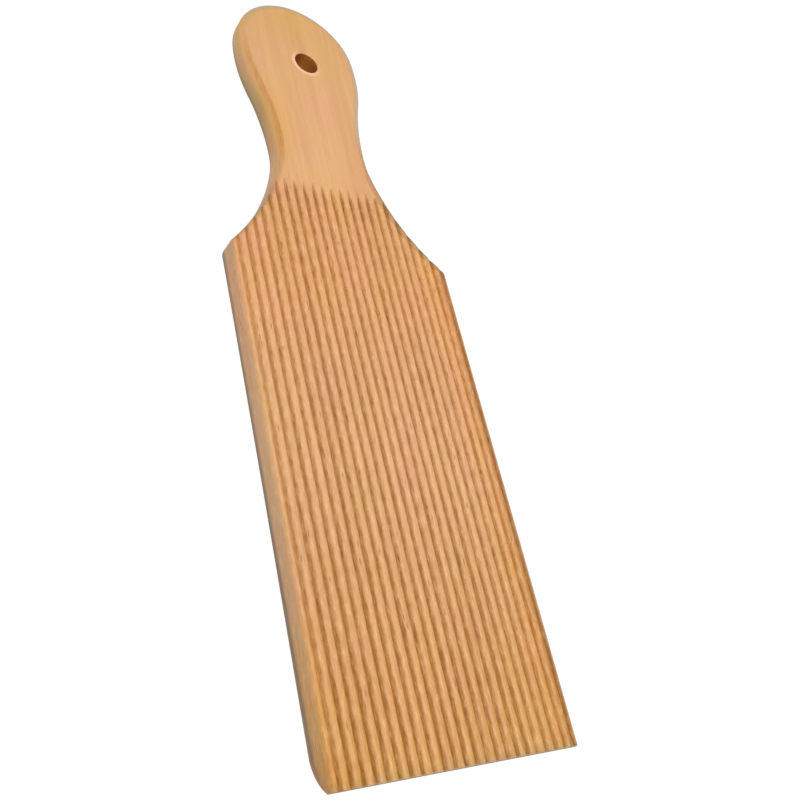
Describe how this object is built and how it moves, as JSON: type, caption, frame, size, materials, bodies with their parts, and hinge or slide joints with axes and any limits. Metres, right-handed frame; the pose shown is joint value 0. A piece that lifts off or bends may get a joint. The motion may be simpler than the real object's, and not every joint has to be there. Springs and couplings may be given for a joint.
{
  "type": "gnocchi board",
  "caption": "Flat wooden board with lengthwise grooves and a waisted grip with a hanging hole, for rolling ridged pasta.",
  "frame": {"origin": "middle of the board's outline on the plane of its flat back", "axes": "+Z out of the grooved face, +Y along the board towards the grip, +X across the board"},
  "size_m": [0.065, 0.22, 0.007],
  "materials": {
    "beech": "satin"
  },
  "bodies": {
    "root": {"board": "beech"}
  },
  "joints": []
}
